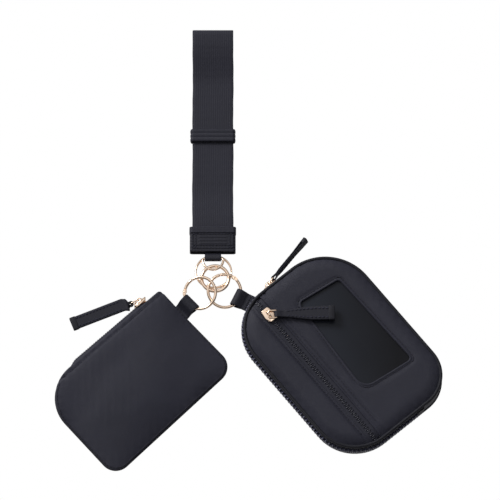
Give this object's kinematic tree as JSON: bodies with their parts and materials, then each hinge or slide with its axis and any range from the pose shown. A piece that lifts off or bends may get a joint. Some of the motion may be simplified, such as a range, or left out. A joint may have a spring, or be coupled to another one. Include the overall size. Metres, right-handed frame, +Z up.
{
  "type": "zippered pouch",
  "caption": "Flat zip coin pouch and gusseted zip card pouch with an ID window, hung by gate rings on a webbing wrist strap.",
  "frame": {"origin": "centre of the bounding box on the plane that the set lies on", "axes": "+Z up out of that plane; +Y along the wrist strap, from the rings to the top fold; +X to the right, towards the card pouch, with the fronts facing up"},
  "size_m": [0.2803, 0.3365, 0.0221],
  "materials": {
    "webbing": "black woven webbing",
    "fabric": "black nylon twill",
    "trim": "black tape and binding",
    "lining": "black lining",
    "film": "smoked clear film",
    "gold": "polished rose gold plate"
  },
  "bodies": {
    "strap": {"strap_webbing": "webbing", "strap_end_cover": "webbing", "strap_tab": "trim"},
    "keeper": {"strap_keeper": "webbing"},
    "dee": {"strap_dee": "gold"},
    "link": {"link_ring": "gold"},
    "key_ring": {"key_ring": "gold"},
    "coin_clip": {"coin_clip_body": "gold", "coin_clip_pin": "gold"},
    "coin_gate": {"coin_clip_gate": "gold"},
    "card_clip": {"card_clip_body": "gold", "card_clip_pin": "gold"},
    "card_gate": {"card_clip_gate": "gold"},
    "coin_pouch": {"coin_front_panel": "fabric", "coin_back_panel": "fabric", "coin_front_tape": "trim", "coin_back_tape": "trim", "coin_zip_chain": "trim", "coin_tab": "trim"},
    "coin_zip_slider": {"coin_slider": "gold"},
    "coin_zip_pull": {"coin_pull_link": "gold", "coin_puller": "trim"},
    "card_pouch": {"card_back_panel": "fabric", "card_back_piping": "trim", "card_back_tape": "trim", "card_front_lower_panel": "fabric", "card_front_piping": "trim", "card_front_tape": "trim", "card_front_upper_panel": "fabric", "card_hinge_gusset": "fabric", "card_pocket_lining": "lining", "card_slot_backing": "lining", "card_tab": "trim", "card_window_film": "film", "card_zip_chain": "trim", "card_zip_end_tab": "trim", "card_zip_start_tab": "trim", "pocket_lower_tape": "trim", "pocket_upper_tape": "trim", "pocket_zip_chain": "trim"},
    "card_zip_slider": {"card_slider": "gold"},
    "card_zip_pull": {"card_pull_link": "gold", "card_puller": "trim"},
    "pocket_zip_slider": {"pocket_slider": "gold"},
    "pocket_zip_pull": {"pocket_pull_link": "gold", "pocket_puller": "trim"}
  },
  "joints": [
    {"name": "keeper_slide", "type": "slide", "parent": "strap", "child": "keeper", "axis": [0, 1, 0], "range_m": [-0.03, 0.03]},
    {"name": "dee_swing", "type": "hinge", "parent": "strap", "child": "dee", "pos_m": [-0.027, -0.0085, 0.00567], "axis": [-1, 0, 0], "range_deg": [0, 100]},
    {"name": "link_swing", "type": "hinge", "parent": "dee", "child": "link", "pos_m": [-0.02922, -0.0164, 0.0092], "axis": [0, 0, 1], "range_deg": [-8, 8]},
    {"name": "key_ring_swing", "type": "hinge", "parent": "link", "child": "key_ring", "pos_m": [-0.02101, -0.03094, 0.00489], "axis": [0, 0, 1], "range_deg": [-6, 6]},
    {"name": "coin_clip_swing", "type": "hinge", "parent": "link", "child": "coin_clip", "pos_m": [-0.02624, -0.03367, 0.01077], "axis": [0, 0, 1], "range_deg": [-10, 10]},
    {"name": "card_clip_swing", "type": "hinge", "parent": "link", "child": "card_clip", "pos_m": [-0.02966, -0.03251, 0.00983], "axis": [0, 0, 1], "range_deg": [-8, 8]},
    {"name": "coin_gate_hinge", "type": "hinge", "parent": "coin_clip", "child": "coin_gate", "pos_m": [-0.04749, -0.0339, 0.00581], "axis": [0.2562, 0.1412, -0.9563], "range_deg": [0, 22], "stiffness_Nm_per_rad": 0.002, "springref_deg": -17.19},
    {"name": "card_gate_hinge", "type": "hinge", "parent": "card_clip", "child": "card_gate", "pos_m": [-0.01151, -0.02358, 0.00675], "axis": [0.1662, -0.1619, 0.9727], "range_deg": [0, 22], "stiffness_Nm_per_rad": 0.002, "springref_deg": -17.19},
    {"name": "coin_pouch_swing", "type": "hinge", "parent": "coin_clip", "child": "coin_pouch", "pos_m": [-0.0437, -0.0428, 0.00551], "axis": [-0.6959, 0.7181, 0], "range_deg": [0, 60]},
    {"name": "card_pouch_swing", "type": "hinge", "parent": "card_clip", "child": "card_pouch", "pos_m": [-0.0088, -0.0382, 0.00385], "axis": [-0.4415, -0.8973, 0], "range_deg": [0, 60]},
    {"name": "coin_zip_slide", "type": "slide", "parent": "coin_pouch", "child": "coin_zip_slider", "axis": [-0.7431, -0.6691, 0], "range_m": [0, 0.071]},
    {"name": "coin_pull_swing", "type": "hinge", "parent": "coin_zip_slider", "child": "coin_zip_pull", "pos_m": [-0.08108, -0.04021, 0.0033], "axis": [0, 0, 1], "range_deg": [-128, 8]},
    {"name": "card_zip_slide", "type": "slide", "parent": "card_pouch", "child": "card_zip_slider", "axis": [-0.7716, -0.6361, 0], "range_m": [0, 0.006]},
    {"name": "card_pull_swing", "type": "hinge", "parent": "card_zip_slider", "child": "card_zip_pull", "pos_m": [0.01345, -0.02925, 0.00855], "axis": [0, 0, 1], "range_deg": [-4, 45]},
    {"name": "pocket_zip_slide", "type": "slide", "parent": "card_pouch", "child": "pocket_zip_slider", "axis": [0.6361, -0.7716, 0], "range_m": [0, 0.1]},
    {"name": "pocket_pull_swing", "type": "hinge", "parent": "pocket_zip_slider", "child": "pocket_zip_pull", "pos_m": [0.01366, -0.05545, 0.02025], "axis": [0.0244, -0.9997, 0], "range_deg": [0, 115]}
  ]
}
